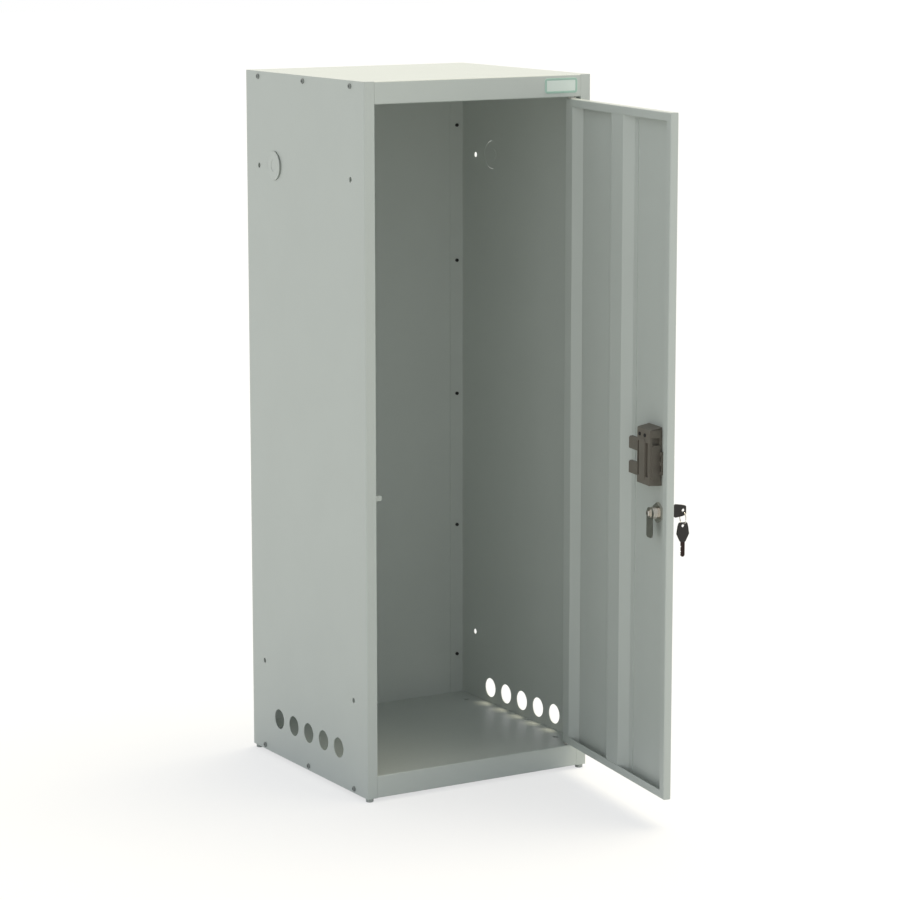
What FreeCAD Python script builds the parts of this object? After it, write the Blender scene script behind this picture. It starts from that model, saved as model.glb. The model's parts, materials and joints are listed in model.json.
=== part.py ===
import FreeCAD, Part
import math
import os

# Gas cylinder cabinet: folded steel panels, bolted and riveted together, with a lockable door.
# Millimetres. X runs to the right, Y to the back, Z up.
# The origin lies on the ground, midway between the side walls and between front and back.
# The door is stored open, as far as DOOR_OPEN, and is modelled closed and then turned.

# Body
BODY_WIDTH = 400.0
BODY_DEPTH = 385.0
BODY_HEIGHT = 1100.0
SHEET = 1.0
BEND_INNER_RADIUS = 0.8
SEAM = 0.3
FRONT_FLANGE = 17.5
REAR_FLANGE = 25.0
HEADER = 34.0
HEADER_LIP = 16.0
PLINTH = 35.0
PANEL_TURN = 20.0
PLINTH_LIP = 12.0
BACK_MARGIN = 1.0

# Holes in the side walls
FIXING_HOLE_RADIUS = 4.2
FIXING_INSET = 43.5
FIXING_HEIGHT = 148.0
VENT_RADIUS = 16.0
VENT_PITCH = 49.7
VENT_COUNT = 5
VENT_HEIGHT = 61.0
KNOCKOUT_RADIUS = 22.5
KNOCKOUT_FROM_BACK = 95.0
KNOCKOUT_FROM_TOP = 145.0
KNOCKOUT_LIFT = 3.2
KNOCKOUT_BRIDGE_WIDTH = 8.0
KNOCKOUT_BRIDGE_LENGTH = 3.0
KNOCKOUT_BRIDGE_THICKNESS = 0.6
KNOCKOUT_DIMPLE_RADIUS = 9.5
KNOCKOUT_DIMPLE_STEP = 0.5

# Anchor holes in the floor
ANCHOR_RADIUS = 4.5
ANCHOR_FROM_SIDE = 24.0
ANCHOR_FROM_END = 53.0

# Assembly bolts and nuts along the top and bottom edges of the side walls
BOLT_RADIUS = 2.5
BOLT_HOLE_CLEARANCE = 0.15
BOLT_HEAD_RADIUS = 4.0
BOLT_HEAD_HEIGHT = 2.4
BOLT_SOCKET_ACROSS = 3.0
BOLT_TIP = 1.5
BOLT_INSET = 43.0
BOLT_FROM_TOP = 8.4
BOLT_FROM_BOTTOM = 7.0
NUT_ACROSS = 8.0
NUT_HEIGHT = 4.0
THREAD_CLEARANCE = 0.05

# Blind rivets that hold the back panel
RIVET_RADIUS = 2.0
RIVET_HEAD_RADIUS = 4.0
RIVET_HEAD_HEIGHT = 1.2
RIVET_BULB_RADIUS = 2.8
RIVET_BULB_LENGTH = 3.0
RIVET_PIT_RADIUS = 1.1
RIVET_PIT_DEPTH = 0.7
RIVET_END_INSET = 102.0
RIVET_ROWS = 5
RIVET_CROSS_PITCH = 120.0
RIVET_CROSS_COUNT = 3

# Glide feet
FOOT_RADIUS = 6.0
FOOT_HEIGHT = 6.0
FOOT_STEM_RADIUS = 3.0
FOOT_STEM_LENGTH = 6.0
FOOT_FROM_SIDE = 8.0
FOOT_FROM_END = 8.0
FOOT_ROUND = 0.8

# Blank name plate on the header
PLATE_WIDTH = 59.0
PLATE_HEIGHT = 23.6
PLATE_THICKNESS = 0.8
PLATE_FROM_SIDE = 24.5
PLATE_FROM_TOP = 4.3
PLATE_CORNER = 4.5

# Door pan
DOOR_OPEN = 82.2
DOOR_DEPTH = 12.5
DOOR_GAP_TOP = 2.7
DOOR_GAP_BOTTOM = 3.0
HINGE_LIP = 24.0
HINGE_LEG_RUN = 17.0
LOCK_LIP = 13.0
END_LIP = 12.5

# Hinge pins and bushes
HINGE_INSET = 9.5
SWING_CLEARANCE = 0.6
BUSH_CLEARANCE = 0.75
BUSH_WALL = 1.5
BUSH_LENGTH = 9.0
BUSH_FLANGE = 1.4
BUSH_FLANGE_HEIGHT = 1.5
PIN_RUNNING_CLEARANCE = 0.06
PIN_END_CLEARANCE = 1.0
PIN_HEAD_STEP = 1.2
PIN_HEAD_HEIGHT = 1.6
THRUST_CLEARANCE = 0.06

# Door stiffener, a hat section at mid-width
HAT_TOP = 40.0
HAT_RUN = 21.0
HAT_FOOT = 12.0
HAT_END_GAP = 1.0
HAT_ROUND = 1.5

# Recessed pull
HANDLE_FROM_LOCK_EDGE = 62.0
HANDLE_HEIGHT = 553.0
SLEEVE_WIDTH = 36.0
SLEEVE_HEIGHT = 74.0
SLEEVE_DEPTH = 18.5
SLEEVE_WALL = 2.0
HANDLE_FIT = 0.3
BEZEL_RIM = 9.0
BEZEL_THICKNESS = 2.0
BEZEL_CORNER = 6.0
GRIP_OVERHANG = 10.0
GRIP_THICKNESS = 3.5
BACK_WALL = 3.7
BACK_END_WALL = 6.7
BACK_COVER = 3.0
BACK_DRAFT_TOP = 4.0
BACK_DRAFT_BOTTOM = 1.0
BACK_SIDE_CHAMFER = 3.0
EAR_LENGTH = 31.0
EAR_HEIGHT = 19.0
EAR_THICKNESS = 5.0
EAR_PITCH = 37.2
EAR_DROP = 6.4
EAR_CHAMFER = 3.0
BAR_WIDTH = 18.5
BAR_HEIGHT = 61.0
BAR_RAISE = 1.0
BAR_ASIDE = 1.7
BAR_DROP = 5.5
BAR_CORNER = 5.0
SLOT_MARGIN = 0.5
SLOT_HEIGHT = 52.0
SLOT_LOCK_WIDTH = 9.5
SLOT_HINGE_WIDTH = 6.5
SLOT_CORNER = 2.0
SIDE_PAD_WIDTH = 14.0
SIDE_PAD_HEIGHT = 51.0
SIDE_PAD_DROP = 8.5
SIDE_PAD_RAISE = 2.0
SIDE_PAD_CORNER = 4.0
SIDE_CAP_HEIGHT = 11.0
SIDE_WINDOW_WIDTH = 12.0
SIDE_WINDOW_HEIGHT = 10.0
CLIP_LENGTH = 8.0
CLIP_HEIGHT = 34.0
CLIP_DROP = 9.5
CLIP_THICKNESS = 5.0
CLIP_POCKET_HEIGHT = 9.4
CLIP_POCKET_PITCH = 14.8
CLIP_POCKET_WALL = 1.2
HANDLE_SCREW_RADIUS = 1.5
HANDLE_SCREW_HEAD_RADIUS = 2.8
HANDLE_SCREW_HEAD_HEIGHT = 1.6
HANDLE_SCREW_BITE = 1.4
HANDLE_SCREW_PITCH = 17.0
HANDLE_SCREW_RISE = 31.0

# Cross recess in the screws of the pull and the cam
CROSS_LENGTH = 3.4
CROSS_WIDTH = 0.8
CROSS_DEPTH = 0.9

# Cam lock
LOCK_FROM_LOCK_EDGE = 48.0
LOCK_BELOW_PULL = 28.0
LOCK_BARREL_RADIUS = 9.0
LOCK_WALL = 3.0
LOCK_HOLE_CLEARANCE = 0.15
LOCK_HEAD_RADIUS = 11.5
LOCK_HEAD_HEIGHT = 8.0
LOCK_HEAD_ROUND = 1.5
LOCK_NUT_ACROSS = 27.0
LOCK_NUT_HEIGHT = 4.0
PLUG_CLEARANCE = 0.06
PLUG_RECESS = 0.8
TANG_SIZE = 7.0
TANG_CLEARANCE = 0.08
CAM_CLEARANCE = 0.4
CAM_WIDTH = 18.0
CAM_LENGTH = 37.0
CAM_THICKNESS = 2.0
CAM_STRIKE_GAP = 0.5
CAM_WASHER_RADIUS = 7.0
CAM_WASHER_THICKNESS = 1.0
CAM_SCREW_RADIUS = 2.0
CAM_SCREW_HEAD_RADIUS = 4.6
CAM_SCREW_HEAD_HEIGHT = 2.6
CAM_SCREW_LENGTH = 7.0
WAFER_COUNT = 4
WAFER_THICKNESS = 1.0
WAFER_WIDTH = 5.6
WAFER_HEIGHT = 10.0
WAFER_PITCH = 2.6
WAFER_CLEARANCE = 0.1

# Strike for the cam, inside the left wall
STRIKE_SHEET = 1.5
STRIKE_GAP = 0.7
STRIKE_OVERLAP = 3.5
STRIKE_HEIGHT = 8.0
STRIKE_BASE = 26.0

# Keys
KEY_BLADE_WIDTH = 6.5
KEY_BLADE_THICKNESS = 2.0
KEY_BLADE_LENGTH = 22.5
KEY_BLADE_IN_BOW = 8.0
KEY_TIP = 2.2
KEY_CUT_DEPTH = 1.4
KEY_CUT_PITCH = 3.6
KEY_CUT_COUNT = 4
KEY_CUT_FROM_TIP = 4.5
KEY_GROOVE_WIDTH = 1.6
KEY_GROOVE_DEPTH = 0.4
KEY_SLOT_CLEARANCE = 0.2
KEY_REST = 6.0
BOW_LENGTH = 30.0
BOW_TOP_WIDTH = 14.0
BOW_SHOULDER = 7.0
BOW_SHOULDER_WIDTH = 17.6
BOW_BELLY = 17.5
BOW_BELLY_WIDTH = 20.8
BOW_NECK_WIDTH = 8.4
BOW_THICKNESS = 3.2
BOW_CORNER = 3.0
BOW_EDGE = 0.8
BOW_HOLE_RADIUS = 2.75
BOW_HOLE_FROM_TOP = 5.0
RING_RADIUS = 10.0
RING_WIRE_RADIUS = 0.8
RING_CLEARANCE = 0.35

# Places that follow from the sizes above
HALF_WIDTH = BODY_WIDTH / 2
FRONT = -BODY_DEPTH / 2
REAR = BODY_DEPTH / 2
BASE = FOOT_HEIGHT
TOP = BASE + BODY_HEIGHT
FLOOR = BASE + PLINTH
BEND_OUTER_RADIUS = BEND_INNER_RADIUS + SHEET
WALL_IN = HALF_WIDTH - SHEET
REAR_IN = REAR - SHEET
OPENING_HALF = HALF_WIDTH - FRONT_FLANGE
APRON_HALF = OPENING_HALF - SEAM
REAR_HALF = HALF_WIDTH - REAR_FLANGE - SEAM
PANEL_FRONT = FRONT + SHEET + BEND_INNER_RADIUS
PANEL_REAR = REAR_IN - SHEET - BEND_INNER_RADIUS
HEADER_BOTTOM = TOP - HEADER

HINGE_SETBACK = DOOR_DEPTH / 2
DOOR_GAP_SIDE = math.hypot(HINGE_INSET, HINGE_SETBACK) - HINGE_INSET + SWING_CLEARANCE
DOOR_HINGE_X = OPENING_HALF - DOOR_GAP_SIDE
DOOR_LOCK_X = -DOOR_HINGE_X
DOOR_BOTTOM = FLOOR + DOOR_GAP_BOTTOM
DOOR_TOP = HEADER_BOTTOM - DOOR_GAP_TOP
DOOR_BACK = FRONT + DOOR_DEPTH
DOOR_SKIN = FRONT + SHEET
HINGE_X = DOOR_HINGE_X - HINGE_INSET
HINGE_Y = FRONT + HINGE_SETBACK
BUSH_RADIUS = HINGE_SETBACK - SHEET - BUSH_CLEARANCE
PIN_RADIUS = BUSH_RADIUS - BUSH_WALL - PIN_RUNNING_CLEARANCE

RETURN_DEPTH = DOOR_DEPTH - SHEET
STRIKE_FACE = DOOR_BACK + STRIKE_GAP
HANDLE_X = DOOR_LOCK_X + HANDLE_FROM_LOCK_EDGE
HANDLE_Z = BASE + HANDLE_HEIGHT
LOCK_X = DOOR_LOCK_X + LOCK_FROM_LOCK_EDGE
PULL_BOTTOM = HANDLE_Z - SLEEVE_HEIGHT / 2 - BEZEL_RIM
LOCK_Z = PULL_BOTTOM - LOCK_BELOW_PULL - LOCK_HEAD_RADIUS
CAM_FACE = STRIKE_FACE + STRIKE_SHEET + CAM_STRIKE_GAP
BARREL_END = CAM_FACE - CAM_CLEARANCE
PLUG_RADIUS = LOCK_BARREL_RADIUS - LOCK_WALL - PLUG_CLEARANCE
LOCK_FACE = FRONT - LOCK_HEAD_HEIGHT
KEY_BOW_Y = LOCK_FACE - KEY_REST
RING_TOP_DROP = BOW_HOLE_RADIUS - RING_WIRE_RADIUS - RING_CLEARANCE

V = FreeCAD.Vector
X_AXIS = V(1, 0, 0)
Y_AXIS = V(0, 1, 0)
Z_AXIS = V(0, 0, 1)
PAST = 1.0


def box(xs, ys, zs):
    """Box between two X, two Y and two Z values, given in any order."""
    low = V(min(xs), min(ys), min(zs))
    return Part.makeBox(abs(xs[1] - xs[0]), abs(ys[1] - ys[0]), abs(zs[1] - zs[0]), low)


def rod(start, axis, radius, length):
    """Round bar from a start point along an axis."""
    return Part.makeCylinder(radius, length, V(*start), axis)


def prism(points, along):
    """Straight bar with a closed outline of points, carried along a vector."""
    wire = Part.makePolygon([V(*p) for p in points] + [V(*points[0])])
    return Part.Face(wire).extrude(along)


def joined(*solids):
    """One solid from pieces that touch or overlap."""
    return solids[0].fuse(list(solids[1:])).removeSplitter()


def flat_at(edge, name, value):
    """True when the whole edge lies at one value of X, Y or Z."""
    limits = edge.BoundBox
    low = getattr(limits, name + "Min")
    high = getattr(limits, name + "Max")
    return abs(low - value) < 1e-4 and abs(high - value) < 1e-4


def rounded(solid, radius, *places):
    """Rounds the edges that lie at the named places, such as {"X": 3.0, "Z": 0.0}."""
    edges = []
    for place in places:
        for edge in solid.Edges:
            if all(flat_at(edge, name, value) for name, value in place.items()):
                edges.append(edge)
    return solid.makeFillet(radius, edges)


def hexagon(across, height, centre, axis, point_up=False):
    """Hexagonal prism about an axis along X or Y, a point or a flat at its top."""
    radius = across / math.sqrt(3)
    turn = 90 if point_up else 60
    points = []
    for step in range(6):
        angle = math.radians(turn + 60 * step)
        aside = radius * math.cos(angle)
        up = radius * math.sin(angle)
        if axis is Y_AXIS or axis.isEqual(-Y_AXIS, 1e-6):
            points.append((centre[0] + aside, centre[1], centre[2] + up))
        else:
            points.append((centre[0], centre[1] + aside, centre[2] + up))
    return prism(points, axis * height)


def spread(count, pitch):
    """Evenly spaced places about zero."""
    return [(step - (count - 1) / 2) * pitch for step in range(count)]


def opened(solid):
    """The same solid with the door turned open about its hinge pins."""
    turned = solid.copy()
    turned.rotate(V(HINGE_X, HINGE_Y, 0), Z_AXIS, DOOR_OPEN)
    return turned


# Places of repeated holes

def bolt_depths():
    """Y places of the bolts along one edge of a side wall."""
    return [FRONT + BOLT_INSET, 0.0, REAR - BOLT_INSET]


def bolt_heights():
    """Z places of the two rows of bolts in a side wall."""
    return {"top": TOP - BOLT_FROM_TOP, "bottom": BASE + BOLT_FROM_BOTTOM}


def rivet_places():
    """X and Z places of the rivets in the back panel."""
    side_x = HALF_WIDTH - REAR_FLANGE / 2
    pitch = (BODY_HEIGHT - 2 * RIVET_END_INSET) / (RIVET_ROWS - 1)
    middle = BASE + BODY_HEIGHT / 2
    places = []
    for up in spread(RIVET_ROWS, pitch):
        places.append((-side_x, middle + up))
        places.append((side_x, middle + up))
    for aside in spread(RIVET_CROSS_COUNT, RIVET_CROSS_PITCH):
        places.append((aside, TOP - PANEL_TURN / 2))
        places.append((aside, FLOOR - PLINTH / 2))
    return places


def rivet_holes():
    """Cutters for the rivets, through the back panel and the flanges before it."""
    depth = 2 * SHEET + 2 * PAST
    start = REAR - 2 * SHEET - PAST
    return [rod((x, start, z), Y_AXIS, RIVET_RADIUS + THREAD_CLEARANCE, depth) for x, z in rivet_places()]


def bolt_holes(side, row):
    """Cutters for one row of bolts through a side wall and the flange inside it."""
    start = side * (WALL_IN - SHEET - PAST)
    radius = BOLT_RADIUS + BOLT_HOLE_CLEARANCE
    length = 2 * SHEET + 2 * PAST
    return [rod((start, y, bolt_heights()[row]), X_AXIS * side, radius, length) for y in bolt_depths()]


# Folded panels of the cabinet

def side_wall(side):
    """Folded wall: web, front flange with a return, rear flange and bottom flange."""
    height = (BASE, TOP)
    web = box((side * WALL_IN, side * HALF_WIDTH), (FRONT, REAR_IN), height)
    front_flange = box((side * OPENING_HALF, side * HALF_WIDTH), (FRONT, DOOR_SKIN), height)
    rear_flange = box(
        (side * (HALF_WIDTH - REAR_FLANGE), side * HALF_WIDTH), (REAR_IN - SHEET, REAR_IN), height
    )
    wall = joined(web, front_flange, rear_flange)
    outer_bends = [{"X": side * HALF_WIDTH, "Y": FRONT}, {"X": side * HALF_WIDTH, "Y": REAR_IN}]
    inner_bends = [{"X": side * WALL_IN, "Y": DOOR_SKIN}, {"X": side * WALL_IN, "Y": REAR_IN - SHEET}]
    wall = rounded(wall, BEND_OUTER_RADIUS, *outer_bends)
    wall = rounded(wall, BEND_INNER_RADIUS, *inner_bends)
    door_edge = box(
        (side * OPENING_HALF, side * (OPENING_HALF + SHEET)),
        (FRONT, FRONT + RETURN_DEPTH),
        (FLOOR + SEAM, HEADER_BOTTOM - SEAM),
    )
    bottom_flange = box(
        (side * OPENING_HALF, side * WALL_IN), (DOOR_SKIN, REAR_IN - SHEET), (BASE, BASE + SHEET)
    )
    wall = joined(wall, door_edge, bottom_flange)
    return pierced_wall(wall, side)


def pierced_wall(wall, side):
    """Side wall with its bolt, fixing, vent, foot and rivet holes and its hose knock-out."""
    out = X_AXIS * side
    inside = side * (WALL_IN - PAST)
    through = SHEET + 2 * PAST
    cutters = bolt_holes(side, "top") + bolt_holes(side, "bottom") + rivet_holes()
    for y in (FRONT + FIXING_INSET, REAR - FIXING_INSET):
        for z in (BASE + FIXING_HEIGHT, TOP - FIXING_HEIGHT):
            cutters.append(rod((inside, y, z), out, FIXING_HOLE_RADIUS, through))
    for y in spread(VENT_COUNT, VENT_PITCH):
        cutters.append(rod((inside, y, BASE + VENT_HEIGHT), out, VENT_RADIUS, through))
    for x, y in foot_places():
        cutters.append(rod((x, y, BASE - PAST), Z_AXIS, FOOT_STEM_RADIUS + THREAD_CLEARANCE, through))
    knockout_y = REAR - KNOCKOUT_FROM_BACK
    knockout_z = TOP - KNOCKOUT_FROM_TOP
    cutters.append(rod((inside, knockout_y, knockout_z), out, KNOCKOUT_RADIUS + SEAM, through))
    return joined(wall.cut(cutters), *knockout(side, knockout_y, knockout_z))


def knockout(side, y, z):
    """Dimpled disc, bent out of a side wall at its front, and the rear bridge that holds it."""
    out = X_AXIS * side
    disc = rod((side * WALL_IN, y, z), out, KNOCKOUT_RADIUS, SHEET)
    dimple = rod((side * HALF_WIDTH, y, z), -out, KNOCKOUT_DIMPLE_RADIUS, KNOCKOUT_DIMPLE_STEP)
    boss = rod((side * WALL_IN, y, z), -out, KNOCKOUT_DIMPLE_RADIUS, KNOCKOUT_DIMPLE_STEP)
    rear = y + KNOCKOUT_RADIUS
    lift = math.degrees(math.asin(KNOCKOUT_LIFT / (2 * KNOCKOUT_RADIUS)))
    disc = joined(disc.cut(dimple), boss)
    disc.rotate(V(side * HALF_WIDTH, rear, z), Z_AXIS, side * lift)
    middle = HALF_WIDTH - SHEET / 2
    half_sheet = KNOCKOUT_BRIDGE_THICKNESS / 2
    half_length = KNOCKOUT_BRIDGE_LENGTH / 2
    half_width = KNOCKOUT_BRIDGE_WIDTH / 2
    bridge = box(
        (side * (middle - half_sheet), side * (middle + half_sheet)),
        (rear - half_length, rear + half_length),
        (z - half_width, z + half_width),
    )
    return [disc, bridge]


def top_panel():
    """Roof with the header at its front and the header's lip."""
    skin = (TOP - SHEET, TOP)
    lip = (HEADER_BOTTOM, HEADER_BOTTOM + SHEET)
    panel = joined(
        box((-WALL_IN, WALL_IN), (PANEL_FRONT, PANEL_REAR), skin),
        box((-APRON_HALF, APRON_HALF), (FRONT, PANEL_FRONT), skin),
        box((-REAR_HALF, REAR_HALF), (PANEL_REAR, REAR_IN), skin),
        box((-APRON_HALF, APRON_HALF), (FRONT, DOOR_SKIN), (HEADER_BOTTOM, TOP)),
        box((-APRON_HALF, APRON_HALF), (FRONT, FRONT + HEADER_LIP), lip),
        box((-REAR_HALF, REAR_HALF), (REAR_IN - SHEET, REAR_IN), (TOP - PANEL_TURN, TOP)),
        *[panel_side(side, TOP - PANEL_TURN, TOP) for side in (-1, 1)],
    )
    panel = rounded(
        panel,
        BEND_OUTER_RADIUS,
        {"Y": FRONT, "Z": TOP},
        {"Y": FRONT, "Z": HEADER_BOTTOM},
        {"Y": REAR_IN, "Z": TOP},
    )
    panel = rounded(panel, BEND_INNER_RADIUS, {"Y": DOOR_SKIN, "Z": HEADER_BOTTOM + SHEET})
    pin_start = (HINGE_X, HINGE_Y, HEADER_BOTTOM - PAST)
    pin_hole = rod(pin_start, Z_AXIS, PIN_RADIUS + THREAD_CLEARANCE, SHEET + 2 * PAST)
    cutters = bolt_holes(-1, "top") + bolt_holes(1, "top") + rivet_holes() + [pin_hole]
    return panel.cut(cutters)


def panel_side(side, low, high):
    """Turned-down side of the roof or the floor tray, against the side wall."""
    return box((side * (WALL_IN - SHEET), side * WALL_IN), (PANEL_FRONT, PANEL_REAR), (low, high))


def bottom_panel():
    """Floor tray with the plinth at its front, turned down all round."""
    skin = (FLOOR - SHEET, FLOOR)
    panel = joined(
        box((-WALL_IN, WALL_IN), (PANEL_FRONT, PANEL_REAR), skin),
        box((-APRON_HALF, APRON_HALF), (FRONT, PANEL_FRONT), skin),
        box((-REAR_HALF, REAR_HALF), (PANEL_REAR, REAR_IN), skin),
        box((-APRON_HALF, APRON_HALF), (FRONT, DOOR_SKIN), (BASE, FLOOR)),
        box((-APRON_HALF, APRON_HALF), (FRONT, FRONT + PLINTH_LIP), (BASE, BASE + SHEET)),
        box((-REAR_HALF, REAR_HALF), (REAR_IN - SHEET, REAR_IN), (BASE, FLOOR)),
        *[panel_side(side, BASE + SHEET + SEAM, FLOOR) for side in (-1, 1)],
    )
    panel = rounded(panel, BEND_OUTER_RADIUS, {"Y": FRONT, "Z": FLOOR}, {"Y": FRONT, "Z": BASE})
    below = FLOOR - SHEET - PAST
    through = SHEET + 2 * PAST
    cutters = bolt_holes(-1, "bottom") + bolt_holes(1, "bottom") + rivet_holes()
    for x in (-HALF_WIDTH + ANCHOR_FROM_SIDE, HALF_WIDTH - ANCHOR_FROM_SIDE):
        for y in (FRONT + ANCHOR_FROM_END, REAR - ANCHOR_FROM_END):
            cutters.append(rod((x, y, below), Z_AXIS, ANCHOR_RADIUS, through))
    cutters.append(rod((HINGE_X, HINGE_Y, below), Z_AXIS, PIN_RADIUS + THREAD_CLEARANCE, through))
    return panel.cut(cutters)


def back_panel():
    """Flat sheet over the rear flanges."""
    edge = HALF_WIDTH - BACK_MARGIN
    sheet = box((-edge, edge), (REAR_IN, REAR), (BASE + BACK_MARGIN, TOP - BACK_MARGIN))
    return sheet.cut(rivet_holes())


# Fasteners, feet and plate of the cabinet

def bolts(row):
    """Button-head bolts of one row, heads outside, on both side walls."""
    length = 2 * SHEET + NUT_HEIGHT + BOLT_TIP
    solids = []
    for side in (-1, 1):
        for y in bolt_depths():
            z = bolt_heights()[row]
            face = side * HALF_WIDTH
            head = rod((face, y, z), X_AXIS * side, BOLT_HEAD_RADIUS, BOLT_HEAD_HEIGHT)
            head = rounded(head, 0.6 * BOLT_HEAD_HEIGHT, {"X": face + side * BOLT_HEAD_HEIGHT})
            socket_depth = 0.5 * BOLT_HEAD_HEIGHT
            socket_start = (face + side * (BOLT_HEAD_HEIGHT - socket_depth), y, z)
            socket = hexagon(BOLT_SOCKET_ACROSS, socket_depth + PAST, socket_start, X_AXIS * side)
            shank = rod((face, y, z), X_AXIS * -side, BOLT_RADIUS, length)
            solids.append(joined(head, shank).cut(socket))
    return Part.makeCompound(solids)


def nuts(row):
    """Hexagon nuts of one row, inside the turned edge of the roof or the floor tray."""
    solids = []
    for side in (-1, 1):
        for y in bolt_depths():
            start = (side * (WALL_IN - SHEET), y, bolt_heights()[row])
            nut = hexagon(NUT_ACROSS, NUT_HEIGHT, start, X_AXIS * -side)
            bore = rod(start, X_AXIS * -side, BOLT_RADIUS + THREAD_CLEARANCE, NUT_HEIGHT)
            solids.append(nut.cut(bore))
    return Part.makeCompound(solids)


def back_rivets():
    """Blind rivets: domed heads behind the back panel, bulbs inside the flanges."""
    solids = []
    inner = REAR - 2 * SHEET
    for x, z in rivet_places():
        head = rod((x, REAR, z), Y_AXIS, RIVET_HEAD_RADIUS, RIVET_HEAD_HEIGHT)
        head = rounded(head, 0.7 * RIVET_HEAD_HEIGHT, {"Y": REAR + RIVET_HEAD_HEIGHT})
        shank = rod((x, inner, z), Y_AXIS, RIVET_RADIUS, 2 * SHEET)
        bulb = rod((x, inner, z), -Y_AXIS, RIVET_BULB_RADIUS, RIVET_BULB_LENGTH)
        bulb = rounded(bulb, 0.4 * RIVET_BULB_RADIUS, {"Y": inner - RIVET_BULB_LENGTH})
        pit_start = (x, REAR + RIVET_HEAD_HEIGHT - RIVET_PIT_DEPTH, z)
        pit = rod(pit_start, Y_AXIS, RIVET_PIT_RADIUS, RIVET_PIT_DEPTH)
        solids.append(joined(head, shank, bulb).cut(pit))
    return Part.makeCompound(solids)


def foot_places():
    """X and Y places of the four feet."""
    x = HALF_WIDTH - FOOT_FROM_SIDE
    y = BODY_DEPTH / 2 - FOOT_FROM_END
    return [(-x, -y), (x, -y), (-x, y), (x, y)]


def glide_feet():
    """Plastic glides pushed into the bottom flanges of the side walls."""
    solids = []
    for x, y in foot_places():
        pad = rod((x, y, 0), Z_AXIS, FOOT_RADIUS, FOOT_HEIGHT)
        pad = rounded(pad, FOOT_ROUND, {"Z": 0.0})
        stem = rod((x, y, FOOT_HEIGHT), Z_AXIS, FOOT_STEM_RADIUS, FOOT_STEM_LENGTH)
        solids.append(joined(pad, stem))
    return Part.makeCompound(solids)


def name_plate():
    """Blank plate with rounded corners on the header."""
    right = HALF_WIDTH - PLATE_FROM_SIDE
    upper = TOP - PLATE_FROM_TOP
    xs = (right - PLATE_WIDTH, right)
    zs = (upper - PLATE_HEIGHT, upper)
    plate = box(xs, (FRONT - PLATE_THICKNESS, FRONT), zs)
    corners = [{"X": x, "Z": z} for x in xs for z in zs]
    return rounded(plate, PLATE_CORNER, *corners)


# Hinge and strike

def upper_hinge_pin():
    """Headed pin that drops through the header's lip into the door."""
    seat = HEADER_BOTTOM + SHEET
    length = SHEET + DOOR_GAP_TOP + BUSH_LENGTH - PIN_END_CLEARANCE
    head = rod((HINGE_X, HINGE_Y, seat), Z_AXIS, PIN_RADIUS + PIN_HEAD_STEP, PIN_HEAD_HEIGHT)
    return joined(head, rod((HINGE_X, HINGE_Y, seat), -Z_AXIS, PIN_RADIUS, length))


def lower_hinge_pin():
    """Pin that stands in the floor tray, with a collar that carries the door."""
    below = FLOOR - SHEET
    collar_height = DOOR_GAP_BOTTOM - BUSH_FLANGE_HEIGHT - THRUST_CLEARANCE
    length = SHEET + DOOR_GAP_BOTTOM + BUSH_LENGTH - PIN_END_CLEARANCE
    head = rod((HINGE_X, HINGE_Y, below), -Z_AXIS, PIN_RADIUS + PIN_HEAD_STEP, PIN_HEAD_HEIGHT)
    collar = rod((HINGE_X, HINGE_Y, FLOOR), Z_AXIS, PIN_RADIUS + PIN_HEAD_STEP, collar_height)
    return joined(head, collar, rod((HINGE_X, HINGE_Y, below), Z_AXIS, PIN_RADIUS, length))


def hinge_bush(edge, outward):
    """Flanged bush in the top or bottom edge of the door, running on a hinge pin."""
    sleeve = rod((HINGE_X, HINGE_Y, edge), -outward, BUSH_RADIUS, BUSH_LENGTH)
    flange = rod((HINGE_X, HINGE_Y, edge), outward, BUSH_RADIUS + BUSH_FLANGE, BUSH_FLANGE_HEIGHT)
    start = (HINGE_X, HINGE_Y, edge + outward.z * BUSH_FLANGE_HEIGHT)
    bore = rod(start, -outward, PIN_RADIUS + PIN_RUNNING_CLEARANCE, BUSH_FLANGE_HEIGHT + BUSH_LENGTH)
    return joined(sleeve, flange).cut(bore)


def lock_strike():
    """Angle on the inside of the left wall: its tongue stops the door, and the cam turns behind it."""
    zs = (LOCK_Z - STRIKE_HEIGHT / 2, LOCK_Z + STRIKE_HEIGHT / 2)
    tongue_end = LOCK_X - CAM_LENGTH + STRIKE_OVERLAP
    tongue = box((-WALL_IN, tongue_end), (STRIKE_FACE, STRIKE_FACE + STRIKE_SHEET), zs)
    base = box((-WALL_IN, -WALL_IN + STRIKE_SHEET), (STRIKE_FACE, STRIKE_FACE + STRIKE_BASE), zs)
    strike = joined(tongue, base)
    return rounded(strike, STRIKE_SHEET, {"X": tongue_end, "Z": zs[0]}, {"X": tongue_end, "Z": zs[1]})


# Door

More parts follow.
